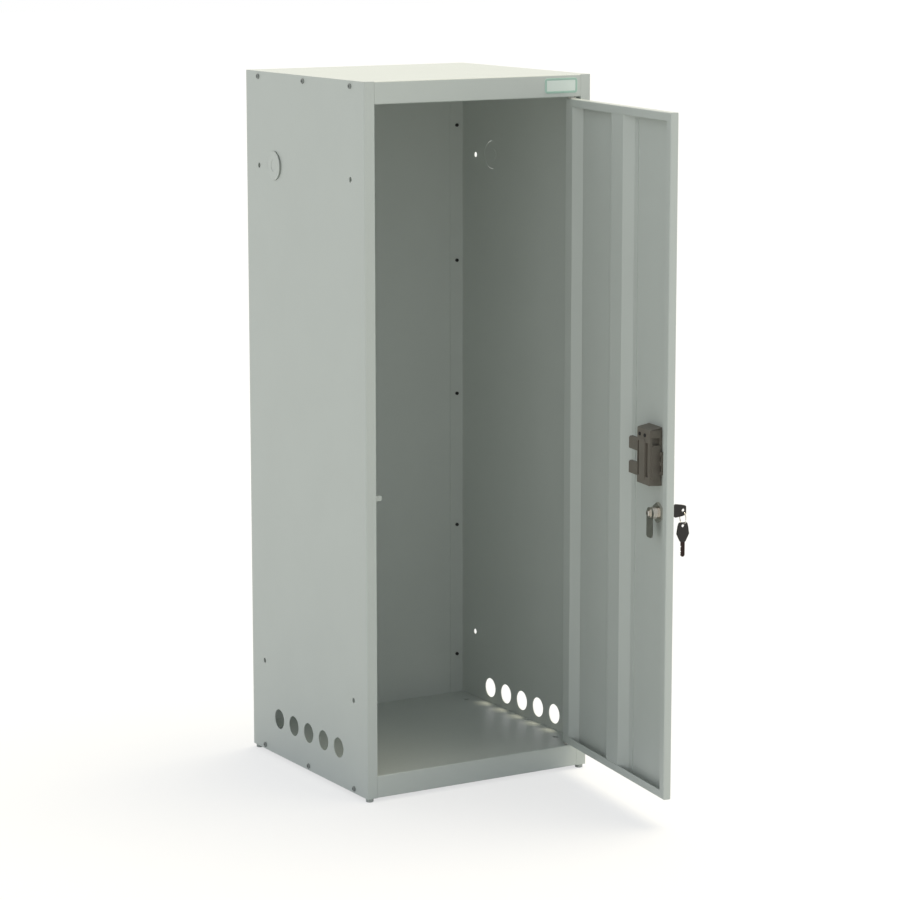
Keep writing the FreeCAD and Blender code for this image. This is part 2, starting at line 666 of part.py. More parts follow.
def door_pan():
    """Folded pan: outer skin, four edges, a lip all round and the hinge lip's leg down to the skin."""
    xs = (DOOR_LOCK_X, DOOR_HINGE_X)
    zs = (DOOR_BOTTOM, DOOR_TOP)
    pan = box(xs, (FRONT, DOOR_BACK), zs)
    face_edges = [{"Y": y, name: value} for y in (FRONT, DOOR_BACK) for name, value in
                  (("X", xs[0]), ("X", xs[1]), ("Z", zs[0]), ("Z", zs[1]))]
    pan = rounded(pan, BEND_OUTER_RADIUS, *face_edges)
    hollow = box(
        (xs[0] + SHEET, xs[1] - SHEET), (DOOR_SKIN, DOOR_BACK - SHEET), (zs[0] + SHEET, zs[1] - SHEET)
    )
    fold = (xs[1] - HINGE_LIP, xs[1] - HINGE_LIP + 2 * BEND_OUTER_RADIUS)
    mouth_z = (zs[0] + END_LIP, zs[1] - END_LIP)
    mouth = box((xs[0] + LOCK_LIP, fold[1]), (DOOR_SKIN, DOOR_BACK + PAST), mouth_z)
    handle_width = SLEEVE_WIDTH / 2 + HANDLE_FIT
    handle_height = SLEEVE_HEIGHT / 2 + HANDLE_FIT
    handle_hole = box(
        (HANDLE_X - handle_width, HANDLE_X + handle_width),
        (FRONT - PAST, DOOR_SKIN + PAST),
        (HANDLE_Z - handle_height, HANDLE_Z + handle_height),
    )
    lock_hole = rod(
        (LOCK_X, FRONT - PAST, LOCK_Z), Y_AXIS, LOCK_BARREL_RADIUS + LOCK_HOLE_CLEARANCE, SHEET + 2 * PAST
    )
    bush_hole = BUSH_RADIUS + THREAD_CLEARANCE
    through = SHEET + 2 * PAST
    upper_hole = rod((HINGE_X, HINGE_Y, DOOR_TOP - SHEET - PAST), Z_AXIS, bush_hole, through)
    lower_hole = rod((HINGE_X, HINGE_Y, DOOR_BOTTOM - PAST), Z_AXIS, bush_hole, through)
    pan = pan.cut([hollow, mouth, handle_hole, lock_hole, upper_hole, lower_hole])
    return joined(pan, hinge_lip_fold(fold, mouth_z))


def hinge_lip_fold(xs, zs):
    """Edge of the hinge lip, bent at a slant down to the skin so that the lip closes to a box section."""
    foot = DOOR_SKIN + SEAM
    crown = DOOR_BACK - SHEET
    rise = DOOR_BACK - foot
    slant = math.hypot(HINGE_LEG_RUN, rise)
    shift = SHEET * (slant - HINGE_LEG_RUN) / rise
    width = SHEET * slant / rise
    toe = xs[0] - HINGE_LEG_RUN
    outer = [(xs[1], DOOR_BACK), (xs[0], DOOR_BACK), (toe, foot)]
    inner = [(toe + width, foot), (xs[0] + shift, crown), (xs[1], crown)]
    lip = prism([(x, y, zs[0]) for x, y in outer + inner], Z_AXIS * (zs[1] - zs[0]))
    lip = rounded(lip, BEND_OUTER_RADIUS, {"X": xs[0], "Y": DOOR_BACK})
    under = crown - SEAM
    neck = toe + HINGE_LEG_RUN * (under - foot) / rise
    low = DOOR_BOTTOM + SHEET + SEAM
    high = DOOR_TOP - SHEET - SEAM
    leg = [(neck, under), (toe, foot), (toe + width, foot), (neck + width, under)]
    return joined(lip, prism([(x, y, low) for x, y in leg], Z_AXIS * (high - low)))


def door_stiffener():
    """Vertical hat section welded inside the pan, from edge to edge."""
    crown = DOOR_BACK - SHEET
    foot = DOOR_SKIN + SHEET
    rise = crown - foot
    slant = math.hypot(HAT_RUN, rise)
    shift = SHEET * (slant - HAT_RUN) / rise
    top = HAT_TOP / 2
    root = top + HAT_RUN
    end = root + HAT_FOOT
    outer = [(-end, foot), (-root, foot), (-top, crown), (top, crown), (root, foot), (end, foot)]
    inner = [(end, DOOR_SKIN), (root - shift, DOOR_SKIN), (top - shift, crown - SHEET)]
    inner += [(-x, y) for x, y in reversed(inner)]
    low = DOOR_BOTTOM + SHEET + HAT_END_GAP
    high = DOOR_TOP - SHEET - HAT_END_GAP
    hat = prism([(x, y, low) for x, y in outer + inner], Z_AXIS * (high - low))
    return rounded(hat, HAT_ROUND, {"X": -top, "Y": crown}, {"X": top, "Y": crown})


# Recessed pull

def handle_cup():
    """Moulded cup with a bezel outside the door and a grip over one side of its mouth."""
    half_width = SLEEVE_WIDTH / 2
    half_height = SLEEVE_HEIGHT / 2
    bezel_x = (HANDLE_X - half_width - BEZEL_RIM, HANDLE_X + half_width + BEZEL_RIM)
    bezel_z = (HANDLE_Z - half_height - BEZEL_RIM, HANDLE_Z + half_height + BEZEL_RIM)
    face = FRONT - BEZEL_THICKNESS
    bezel = box(bezel_x, (face, FRONT), bezel_z)
    bezel = rounded(bezel, BEZEL_CORNER, *[{"X": x, "Z": z} for x in bezel_x for z in bezel_z])
    bezel = bezel.makeFillet(0.5 * BEZEL_THICKNESS, [e for e in bezel.Edges if flat_at(e, "Y", face)])
    sleeve = box(
        (HANDLE_X - half_width, HANDLE_X + half_width),
        (FRONT, FRONT + SLEEVE_DEPTH),
        (HANDLE_Z - half_height, HANDLE_Z + half_height),
    )
    pocket_x = (HANDLE_X - half_width + SLEEVE_WALL, HANDLE_X + half_width - SLEEVE_WALL)
    pocket_z = (HANDLE_Z - half_height + SLEEVE_WALL, HANDLE_Z + half_height - SLEEVE_WALL)
    grip_back = face + GRIP_THICKNESS
    pocket = box(pocket_x, (grip_back, FRONT + SLEEVE_DEPTH - SLEEVE_WALL), pocket_z)
    mouth = box((pocket_x[0] + GRIP_OVERHANG, pocket_x[1]), (face - PAST, grip_back), pocket_z)
    return joined(bezel, sleeve).cut([pocket, mouth] + handle_screw_holes(HANDLE_SCREW_BITE))


def handle_screw_places():
    """X and Z places of the two screws of the pull, side by side above the bar."""
    middle = HANDLE_X + BAR_ASIDE
    return [(middle + aside, HANDLE_Z + HANDLE_SCREW_RISE) for aside in spread(2, HANDLE_SCREW_PITCH)]


def handle_screw_holes(depth):
    """Cutters for the screws, from behind and a given depth into the cup's bottom."""
    start = FRONT + SLEEVE_DEPTH - depth
    radius = HANDLE_SCREW_RADIUS + THREAD_CLEARANCE
    length = depth + HANDLE_FIT + BACK_COVER + PAST
    return [rod((x, start, z), Y_AXIS, radius, length) for x, z in handle_screw_places()]


def handle_back():
    """Housing behind the cup: drafted ends, two ears, a bar between slots, a side pad and a clip."""
    half_width = SLEEVE_WIDTH / 2 + HANDLE_FIT + BACK_WALL
    half_height = SLEEVE_HEIGHT / 2 + HANDLE_FIT + BACK_END_WALL
    back = FRONT + SLEEVE_DEPTH + HANDLE_FIT + BACK_COVER
    upper = half_height - BACK_DRAFT_TOP
    lower = BACK_DRAFT_BOTTOM - half_height
    section = [(DOOR_SKIN, half_height), (back, upper), (back, lower), (DOOR_SKIN, -half_height)]
    left = HANDLE_X - half_width
    right = HANDLE_X + half_width
    body = prism([(left, y, HANDLE_Z + z) for y, z in section], X_AXIS * (2 * half_width))
    hinge_edge = [e for e in body.Edges if flat_at(e, "X", right) and flat_at(e, "Y", back)]
    body = body.makeChamfer(BACK_SIDE_CHAMFER, hinge_edge)
    bar_x = (HANDLE_X + BAR_ASIDE - BAR_WIDTH / 2, HANDLE_X + BAR_ASIDE + BAR_WIDTH / 2)
    bar_low = HANDLE_Z - BAR_DROP - BAR_HEIGHT / 2
    bar_z = (bar_low, bar_low + BAR_HEIGHT)
    bar_middle = bar_low + BAR_HEIGHT / 2
    bar = box(bar_x, (back, back + BAR_RAISE), bar_z)
    bar = rounded(bar, BAR_CORNER, *[{"X": x, "Z": z} for x in bar_x for z in bar_z])
    pad_middle = (back + DOOR_SKIN) / 2
    pad_x = (left - SIDE_PAD_RAISE, left)
    pad_y = (pad_middle - SIDE_PAD_WIDTH / 2, pad_middle + SIDE_PAD_WIDTH / 2)
    pad_low = HANDLE_Z - SIDE_PAD_DROP - SIDE_PAD_HEIGHT / 2
    pad_z = (pad_low, pad_low + SIDE_PAD_HEIGHT)
    pad = box(pad_x, pad_y, pad_z)
    pad = rounded(pad, SIDE_PAD_CORNER, *[{"Y": y, "Z": z} for y in pad_y for z in pad_z])
    cap_low = HANDLE_Z + upper - SIDE_CAP_HEIGHT
    cap = box(pad_x, pad_y, (cap_low, HANDLE_Z + upper))
    window_middle = (pad_z[1] + cap_low) / 2
    window = box(
        (left - PAST, left + BACK_WALL),
        (pad_middle - SIDE_WINDOW_WIDTH / 2, pad_middle + SIDE_WINDOW_WIDTH / 2),
        (window_middle - SIDE_WINDOW_HEIGHT / 2, window_middle + SIDE_WINDOW_HEIGHT / 2),
    )
    ears = [handle_ear(right, back, HANDLE_Z - EAR_DROP + up) for up in spread(2, EAR_PITCH)]
    room_width = SLEEVE_WIDTH / 2 + HANDLE_FIT
    room_height = SLEEVE_HEIGHT / 2 + HANDLE_FIT
    room = box(
        (HANDLE_X - room_width, HANDLE_X + room_width),
        (DOOR_SKIN - PAST, FRONT + SLEEVE_DEPTH + HANDLE_FIT),
        (HANDLE_Z - room_height, HANDLE_Z + room_height),
    )
    housing = joined(body, bar, pad, cap, handle_clip(left), *ears)
    slots = handle_slots(bar_x, bar_middle, back)
    return housing.cut([room, window] + slots + handle_screw_holes(0.0))


def handle_slots(bar_x, middle, back):
    """Cutters for the two slots through the cover, one along each side of the bar."""
    depth = (back - BACK_COVER - PAST, back + PAST)
    zs = (middle - SLOT_HEIGHT / 2, middle + SLOT_HEIGHT / 2)
    lock_side = (bar_x[0] - SLOT_MARGIN - SLOT_LOCK_WIDTH, bar_x[0] - SLOT_MARGIN)
    hinge_side = (bar_x[1] + SLOT_MARGIN, bar_x[1] + SLOT_MARGIN + SLOT_HINGE_WIDTH)
    slots = []
    for xs in (lock_side, hinge_side):
        corners = [{"X": x, "Z": z} for x in xs for z in zs]
        slots.append(rounded(box(xs, depth, zs), SLOT_CORNER, *corners))
    return slots


def handle_clip(root):
    """Clip beside the housing, on the door skin, with two pockets."""
    middle = HANDLE_Z - CLIP_DROP
    face = DOOR_SKIN + CLIP_THICKNESS
    clip_z = (middle - CLIP_HEIGHT / 2, middle + CLIP_HEIGHT / 2)
    clip = box((root - CLIP_LENGTH, root), (DOOR_SKIN, face), clip_z)
    pocket_x = (root - CLIP_LENGTH + CLIP_POCKET_WALL, root - CLIP_POCKET_WALL)
    pocket_y = (DOOR_SKIN + CLIP_POCKET_WALL, face + PAST)
    pockets = []
    for up in spread(2, CLIP_POCKET_PITCH):
        low = middle + up - CLIP_POCKET_HEIGHT / 2
        pockets.append(box(pocket_x, pocket_y, (low, low + CLIP_POCKET_HEIGHT)))
    return clip.cut(pockets)


def handle_ear(root, back, middle):
    """One ear of the housing, with its free upper corner cut off."""
    front = back - BACK_SIDE_CHAMFER - EAR_THICKNESS
    low = middle - EAR_HEIGHT / 2
    high = middle + EAR_HEIGHT / 2
    outline = [
        (root, low),
        (root + EAR_LENGTH, low),
        (root + EAR_LENGTH, high - EAR_CHAMFER),
        (root + EAR_LENGTH - EAR_CHAMFER, high),
        (root, high),
    ]
    return prism([(x, front, z) for x, z in outline], Y_AXIS * EAR_THICKNESS)


def cross_recess(x, top, z):
    """Cutters for a cross recess in a screw head whose top lies at a Y value."""
    depth = (top - CROSS_DEPTH, top)
    reach = CROSS_LENGTH / 2
    narrow = CROSS_WIDTH / 2
    return [
        box((x - reach, x + reach), depth, (z - narrow, z + narrow)),
        box((x - narrow, x + narrow), depth, (z - reach, z + reach)),
    ]


def handle_screws():
    """Screws that draw the housing and the cup together."""
    seat = FRONT + SLEEVE_DEPTH + HANDLE_FIT + BACK_COVER
    length = BACK_COVER + HANDLE_FIT + HANDLE_SCREW_BITE
    solids = []
    for x, z in handle_screw_places():
        head = rod((x, seat, z), Y_AXIS, HANDLE_SCREW_HEAD_RADIUS, HANDLE_SCREW_HEAD_HEIGHT)
        head = rounded(head, 0.5 * HANDLE_SCREW_HEAD_HEIGHT, {"Y": seat + HANDLE_SCREW_HEAD_HEIGHT})
        head = head.cut(cross_recess(x, seat + HANDLE_SCREW_HEAD_HEIGHT, z))
        solids.append(joined(head, rod((x, seat, z), -Y_AXIS, HANDLE_SCREW_RADIUS, length)))
    return Part.makeCompound(solids)


# Cam lock

def lock_body():
    """Round head outside the door and a barrel through it, bored for the plug."""
    head = rod((LOCK_X, LOCK_FACE, LOCK_Z), Y_AXIS, LOCK_HEAD_RADIUS, LOCK_HEAD_HEIGHT)
    head = rounded(head, LOCK_HEAD_ROUND, {"Y": LOCK_FACE})
    barrel = rod((LOCK_X, FRONT, LOCK_Z), Y_AXIS, LOCK_BARREL_RADIUS, BARREL_END - FRONT)
    bore = rod((LOCK_X, LOCK_FACE, LOCK_Z), Y_AXIS, LOCK_BARREL_RADIUS - LOCK_WALL, BARREL_END - LOCK_FACE)
    return joined(head, barrel).cut(bore)


def lock_nut():
    """Hexagon nut that clamps the lock to the door skin."""
    nut = hexagon(LOCK_NUT_ACROSS, LOCK_NUT_HEIGHT, (LOCK_X, DOOR_SKIN, LOCK_Z), Y_AXIS, point_up=True)
    bore = rod((LOCK_X, DOOR_SKIN, LOCK_Z), Y_AXIS, LOCK_BARREL_RADIUS + THREAD_CLEARANCE, LOCK_NUT_HEIGHT)
    return nut.cut(bore)


def wafer_places():
    """Y places of the wafers along the plug."""
    first = LOCK_FACE + PLUG_RECESS + WAFER_PITCH
    return [first + step * WAFER_PITCH for step in range(WAFER_COUNT)]


def lock_plug():
    """Turning plug with a key slot, slots for the wafers and a square tang for the cam."""
    face = LOCK_FACE + PLUG_RECESS
    plug = rod((LOCK_X, face, LOCK_Z), Y_AXIS, PLUG_RADIUS, BARREL_END - face)
    tang_end = CAM_FACE + CAM_THICKNESS
    tang = box(
        (LOCK_X - TANG_SIZE / 2, LOCK_X + TANG_SIZE / 2),
        (BARREL_END, tang_end),
        (LOCK_Z - TANG_SIZE / 2, LOCK_Z + TANG_SIZE / 2),
    )
    tip = KEY_BOW_Y + KEY_BLADE_LENGTH
    half_thick = KEY_BLADE_THICKNESS / 2 + KEY_SLOT_CLEARANCE
    half_wide = KEY_BLADE_WIDTH / 2 + KEY_SLOT_CLEARANCE
    slot = box(
        (LOCK_X - half_thick, LOCK_X + half_thick),
        (face - PAST, tip + KEY_SLOT_CLEARANCE),
        (LOCK_Z - half_wide, LOCK_Z + half_wide),
    )
    wafer_slots = [wafer_block(y, WAFER_CLEARANCE) for y in wafer_places()]
    screw_radius = CAM_SCREW_RADIUS + THREAD_CLEARANCE
    screw_hole = rod((LOCK_X, tang_end, LOCK_Z), -Y_AXIS, screw_radius, CAM_SCREW_LENGTH)
    return joined(plug, tang).cut([slot, screw_hole] + wafer_slots)


def wafer_block(y, extra):
    """Block of one wafer, grown all round by a clearance."""
    return box(
        (LOCK_X - WAFER_WIDTH / 2 - extra, LOCK_X + WAFER_WIDTH / 2 + extra),
        (y - extra, y + WAFER_THICKNESS + extra),
        (LOCK_Z - WAFER_HEIGHT / 2 - extra, LOCK_Z + WAFER_HEIGHT / 2 + extra),
    )


def lock_wafers():
    """Flat wafers in the plug, with a window for the key's blade."""
    half_thick = KEY_BLADE_THICKNESS / 2 + KEY_SLOT_CLEARANCE
    half_wide = KEY_BLADE_WIDTH / 2 + KEY_SLOT_CLEARANCE
    solids = []
    for y in wafer_places():
        window = box(
            (LOCK_X - half_thick, LOCK_X + half_thick),
            (y - PAST, y + WAFER_THICKNESS + PAST),
            (LOCK_Z - half_wide, LOCK_Z + half_wide),
        )
        solids.append(wafer_block(y, 0.0).cut(window))
    return Part.makeCompound(solids)


def lock_cam():
    """Flat cam on the plug's tang, hanging down while the lock is open."""
    half = CAM_WIDTH / 2
    eye = rod((LOCK_X, CAM_FACE, LOCK_Z), Y_AXIS, half, CAM_THICKNESS)
    thickness = (CAM_FACE, CAM_FACE + CAM_THICKNESS)
    arm = box((LOCK_X - half, LOCK_X + half), thickness, (LOCK_Z - CAM_LENGTH, LOCK_Z))
    low_corners = [{"X": LOCK_X + side * half, "Z": LOCK_Z - CAM_LENGTH} for side in (-1, 1)]
    arm = rounded(arm, 0.25 * CAM_WIDTH, *low_corners)
    hole = TANG_SIZE / 2 + TANG_CLEARANCE
    square = box(
        (LOCK_X - hole, LOCK_X + hole),
        (CAM_FACE - PAST, CAM_FACE + CAM_THICKNESS + PAST),
        (LOCK_Z - hole, LOCK_Z + hole),
    )
    return joined(eye, arm).cut(square)


def cam_washer():
    """Washer between the cam and its screw."""
    start = (LOCK_X, CAM_FACE + CAM_THICKNESS, LOCK_Z)
    washer = rod(start, Y_AXIS, CAM_WASHER_RADIUS, CAM_WASHER_THICKNESS)
    return washer.cut(rod(start, Y_AXIS, CAM_SCREW_RADIUS + THREAD_CLEARANCE, CAM_WASHER_THICKNESS))


def cam_screw():
    """Screw that holds the cam on the plug."""
    seat = CAM_FACE + CAM_THICKNESS + CAM_WASHER_THICKNESS
    head = rod((LOCK_X, seat, LOCK_Z), Y_AXIS, CAM_SCREW_HEAD_RADIUS, CAM_SCREW_HEAD_HEIGHT)
    head = rounded(head, 0.4 * CAM_SCREW_HEAD_HEIGHT, {"Y": seat + CAM_SCREW_HEAD_HEIGHT})
    head = head.cut(cross_recess(LOCK_X, seat + CAM_SCREW_HEAD_HEIGHT, LOCK_Z))
    length = CAM_WASHER_THICKNESS + CAM_SCREW_LENGTH - THREAD_CLEARANCE
    return joined(head, rod((LOCK_X, seat, LOCK_Z), -Y_AXIS, CAM_SCREW_RADIUS, length))


# Keys: a bow end and a blade, drawn with the blade towards +Y and the bow's plane upright

def bow_outline():
    """Half widths of a bow against the distance from its top."""
    return [
        (0.0, BOW_TOP_WIDTH / 2),
        (BOW_SHOULDER, BOW_SHOULDER_WIDTH / 2),
        (BOW_BELLY, BOW_BELLY_WIDTH / 2),
        (BOW_LENGTH, BOW_NECK_WIDTH / 2),
    ]


def drawn_bow():
    """Moulded bow about the origin: the blade leaves it at y = 0, its top at y = -BOW_LENGTH."""
    upper = [(-BOW_THICKNESS / 2, along - BOW_LENGTH, half) for along, half in bow_outline()]
    lower = [(x, y, -half) for x, y, half in reversed(upper)]
    bow = prism(upper + lower, X_AXIS * BOW_THICKNESS)
    corners = [{"Y": y, "Z": z} for x, y, z in upper + lower]
    bow = rounded(bow, BOW_CORNER, *corners)
    side = BOW_THICKNESS / 2
    rims = [e for e in bow.Edges if flat_at(e, "X", side) or flat_at(e, "X", -side)]
    bow = bow.makeFillet(BOW_EDGE, rims)
    hole_start = (-BOW_THICKNESS, BOW_HOLE_FROM_TOP - BOW_LENGTH, 0)
    hole = rod(hole_start, X_AXIS, BOW_HOLE_RADIUS, 2 * BOW_THICKNESS)
    half_thick = KEY_BLADE_THICKNESS / 2
    half_wide = KEY_BLADE_WIDTH / 2
    socket = box((-half_thick, half_thick), (-KEY_BLADE_IN_BOW, PAST), (-half_wide, half_wide))
    return bow.cut([hole, socket])


def drawn_blade():
    """Steel blade about the origin, with a pointed tip and a row of cuts along one edge."""
    half_thick = KEY_BLADE_THICKNESS / 2
    half_wide = KEY_BLADE_WIDTH / 2
    outline = [
        (-KEY_BLADE_IN_BOW, half_wide),
        (KEY_BLADE_LENGTH - KEY_TIP, half_wide),
        (KEY_BLADE_LENGTH, half_wide - KEY_TIP),
        (KEY_BLADE_LENGTH, KEY_TIP - half_wide),
        (KEY_BLADE_LENGTH - KEY_TIP, -half_wide),
        (-KEY_BLADE_IN_BOW, -half_wide),
    ]
    blade = prism([(-half_thick, y, z) for y, z in outline], X_AXIS * KEY_BLADE_THICKNESS)
    cuts = []
    for step in range(KEY_CUT_COUNT):
        y = KEY_BLADE_LENGTH - KEY_CUT_FROM_TIP - step * KEY_CUT_PITCH
        depth = KEY_CUT_DEPTH * (1.0 if step % 2 else 0.6)
        notch = [(y - depth, half_wide), (y, half_wide - depth), (y + depth, half_wide)]
        corners = [(-half_thick - PAST, along, up) for along, up in notch]
        cuts.append(prism(corners, X_AXIS * (KEY_BLADE_THICKNESS + 2 * PAST)))
    groove = KEY_GROOVE_WIDTH / 2
    for side in (-1, 1):
        across = (side * (half_thick - KEY_GROOVE_DEPTH), side * (half_thick + PAST))
        cuts.append(box(across, (0.0, KEY_BLADE_LENGTH + PAST), (-groove, groove)))
    return blade.cut(cuts)


def in_lock(solid):
    """A key's piece put into the lock, bow outside the door."""
    placed = solid.copy()
    placed.translate(V(LOCK_X, KEY_BOW_Y, LOCK_Z))
    return placed


def bow_hole_y():
    """Y place of the ring's hole in the key that is in the lock."""
    return KEY_BOW_Y + BOW_HOLE_FROM_TOP - BOW_LENGTH


def key_ring():
    """Wire ring that hangs in the bow of the key in the lock."""
    centre = V(LOCK_X, bow_hole_y(), LOCK_Z - RING_TOP_DROP - RING_RADIUS)
    return Part.makeTorus(RING_RADIUS, RING_WIRE_RADIUS, centre, Y_AXIS)


def hanging(solid):
    """A spare key's piece, hanging point down on the ring."""
    placed = solid.copy()
    placed.rotate(V(0, 0, 0), X_AXIS, -90)
    hole_z = LOCK_Z - 2 * RING_TOP_DROP - 2 * RING_RADIUS
    placed.translate(V(LOCK_X, bow_hole_y(), hole_z + BOW_HOLE_FROM_TOP - BOW_LENGTH))
    return placed


def all_pieces():
    """Every node of the cabinet by name, with the door open."""
    fixed = {
        "left_side_wall": side_wall(-1),
        "right_side_wall": side_wall(1),
        "top_panel": top_panel(),
        "bottom_panel": bottom_panel(),
        "back_panel": back_panel(),
        "top_bolts": bolts("top"),
        "top_nuts": nuts("top"),
        "bottom_bolts": bolts("bottom"),
        "bottom_nuts": nuts("bottom"),
        "back_rivets": back_rivets(),
        "glide_feet": glide_feet(),
        "name_plate": name_plate(),
        "upper_hinge_pin": upper_hinge_pin(),
        "lower_hinge_pin": lower_hinge_pin(),
        "lock_strike": lock_strike(),
    }
    on_door = {
        "door_pan": door_pan(),
        "door_stiffener": door_stiffener(),
        "upper_hinge_bush": hinge_bush(DOOR_TOP, Z_AXIS),
        "lower_hinge_bush": hinge_bush(DOOR_BOTTOM, -Z_AXIS),
        "handle_cup": handle_cup(),
        "handle_back": handle_back(),
        "handle_screws": handle_screws(),
        "lock_body": lock_body(),
        "lock_nut": lock_nut(),
        "lock_plug": lock_plug(),
        "lock_wafers": lock_wafers(),
        "lock_cam": lock_cam(),
        "cam_washer": cam_washer(),
        "cam_screw": cam_screw(),
        "key_bow": in_lock(drawn_bow()),
        "key_blade": in_lock(drawn_blade()),
        "key_ring": key_ring(),
        "spare_key_bow": hanging(drawn_bow()),
        "spare_key_blade": hanging(drawn_blade()),
    }
    return fixed | {name: opened(solid) for name, solid in on_door.items()}


os.makedirs("parts", exist_ok=True)
for node, shape in all_pieces().items():
    shape.exportStep(f"parts/{node}.step")
    print(node, len(shape.Solids), "solids", round(shape.Volume, 1), "mm3, valid:", shape.isValid())
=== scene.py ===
"""Looks of a gas cylinder cabinet: its finishes, its small wound and turned details, studio and camera."""

import json
import logging
import math
from dataclasses import dataclass
from enum import Enum

import bpy
import numpy as np
from mathutils import Matrix, Vector


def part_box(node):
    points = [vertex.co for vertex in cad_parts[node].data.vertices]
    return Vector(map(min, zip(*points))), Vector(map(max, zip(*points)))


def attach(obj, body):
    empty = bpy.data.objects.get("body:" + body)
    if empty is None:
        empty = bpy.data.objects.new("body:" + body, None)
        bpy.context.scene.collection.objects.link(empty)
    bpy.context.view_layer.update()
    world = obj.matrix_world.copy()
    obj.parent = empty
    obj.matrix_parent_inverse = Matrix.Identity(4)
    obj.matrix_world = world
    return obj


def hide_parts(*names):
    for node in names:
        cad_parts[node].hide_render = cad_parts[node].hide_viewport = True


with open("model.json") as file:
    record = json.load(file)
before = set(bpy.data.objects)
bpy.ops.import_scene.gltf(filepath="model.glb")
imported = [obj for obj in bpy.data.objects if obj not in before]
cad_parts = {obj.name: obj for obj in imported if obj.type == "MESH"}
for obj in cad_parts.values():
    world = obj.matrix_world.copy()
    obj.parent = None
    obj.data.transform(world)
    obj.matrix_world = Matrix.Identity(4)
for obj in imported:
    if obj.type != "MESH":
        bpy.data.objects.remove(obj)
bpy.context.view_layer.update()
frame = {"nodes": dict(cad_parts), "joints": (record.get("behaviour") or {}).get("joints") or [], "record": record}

MM = 0.001
LOG = logging.getLogger("gas_cylinder_cabinet")


# Small helpers for colours, nodes and meshes


def linear(colour: str) -> tuple[float, float, float, float]:
    """Turns an sRGB hex colour into linear RGBA.

    Args:
        colour: Six hex digits after a hash sign.

    Returns:
        Linear red, green and blue from 0 to 1, and an alpha of 1.
    """
    srgb = np.array([int(colour[i : i + 2], 16) for i in (1, 3, 5)]) / 255.0
    low = srgb / 12.92
    high = ((srgb + 0.055) / 1.055) ** 2.4
    red, green, blue = np.where(srgb <= 0.04045, low, high)
    return float(red), float(green), float(blue), 1.0


def add_node(
    tree: bpy.types.NodeTree,
    kind: str,
    values: dict[str, object] | None = None,
    links: dict[str | int, bpy.types.NodeSocket] | None = None,
    **settings: object,
) -> bpy.types.Node:
    """Adds one shader node with its settings, input values and links.

    Args:
        tree: Node tree that gets the node.
        kind: Blender's type name of the node.
        values: Input socket names with the constant that each one holds.
        links: Input socket names or numbers with the output that feeds each one.
        settings: Properties of the node itself.

    Returns:
        The new node.
    """
    made = tree.nodes.new(kind)
    for name, value in settings.items():
        setattr(made, name, value)
    for name, value in (values or {}).items():
        made.inputs[name].default_value = value
    for name, socket in (links or {}).items():
        tree.links.new(socket, made.inputs[name])
    return made


def per_metre(size_mm: float) -> float:
    """Texture scale at which one feature of a pattern measures the given millimetres."""
    return 1.0 / (size_mm * MM)


def grid_mesh(name: str, grid: np.ndarray, capped: bool) -> bpy.types.Object:
    """Builds a closed skin from a grid of points.

    The second index of the grid runs round and closes on itself. The first index runs along the piece: it
    closes on itself too, or each end gets a cap, a fan to the mean of its ring.

    Args:
        name: Name of the new object.
        grid: Points in millimetres, shaped (along, round, 3).
        capped: True where the ends get caps, False where the last ring joins the first.

    Returns:
        The object, with outward faces, linked to the scene.
    """
    count, around = grid.shape[:2]
    rows = np.arange(count - 1 if capped else count)[:, None]
    columns = np.arange(around)[None, :]
    next_row = (rows + 1) % count
    next_column = (columns + 1) % around
    corners = [
        rows * around + columns,
        next_row * around + columns,
        next_row * around + next_column,
        rows * around + next_column,
    ]
    quads = np.stack([np.broadcast_to(c, (len(rows), around)) for c in corners], axis=-1).reshape(-1, 4)
    points = grid.reshape(-1, 3)
    faces = quads.tolist()
    if capped:
        ring = np.arange(around)
        after = (ring + 1) % around
        first = np.full(around, len(points))
        last = first + 1
        end = (count - 1) * around
        faces += np.stack([first, ring, after], axis=-1).tolist()
        faces += np.stack([last, end + after, end + ring], axis=-1).tolist()
        points = np.concatenate([points, grid[:1].mean(axis=1), grid[-1:].mean(axis=1)])
    mesh = bpy.data.meshes.new(name)
    mesh.from_pydata((points * MM).tolist(), [], faces)
    if signed_volume(points, faces) < 0:
        mesh.flip_normals()
    mesh.polygons.foreach_set("use_smooth", np.ones(len(mesh.polygons), dtype=bool))
    made = bpy.data.objects.new(name, mesh)
    bpy.context.scene.collection.objects.link(made)
    return made


def signed_volume(points: np.ndarray, faces: list[list[int]]) -> float:
    """Six times the volume inside a closed skin, negative where its faces point inwards.

    Args:
        points: Corner points of the skin.
        faces: Corner numbers of each face.

    Returns:
        The sum over all triangles of the triple product of their corners, about the mean point.
    """
    quads = np.array([face for face in faces if len(face) == 4])
    fans = np.array([face for face in faces if len(face) == 3], dtype=int).reshape(-1, 3)
    triangles = np.concatenate([quads[:, [0, 1, 2]], quads[:, [0, 2, 3]], fans])
    a, b, c = (points[triangles[:, i]] - points.mean(axis=0) for i in range(3))
    return float(np.einsum("ij,ij->i", a, np.cross(b, c)).sum())


def smooth_step(ramp: np.ndarray) -> np.ndarray:
    """Runs from 0 to 1 with level ends: three ramp squared minus two ramp cubed."""
    held = np.clip(ramp, 0.0, 1.0)
    return held * held * (3.0 - 2.0 * held)


# Finishes


class Texture(Enum):
    """What breaks up a finish when it is seen close by."""

    PEEL = "peel"
    SPANGLE = "spangle"
    BRUSHED = "brushed"
    SPARK = "spark"


PATCH_DETAIL = 3.0
PATCH_ROUGHNESS = 0.55
GRAIN_DETAIL: dict[Texture, float] = {Texture.PEEL: 1.0, Texture.BRUSHED: 4.0, Texture.SPARK: 6.0}
GRAIN_ROUGHNESS = 0.5
BRUSH_STRETCH = (1.0, 1.0, 0.06)
COAT_ROUGHNESS = 0.12


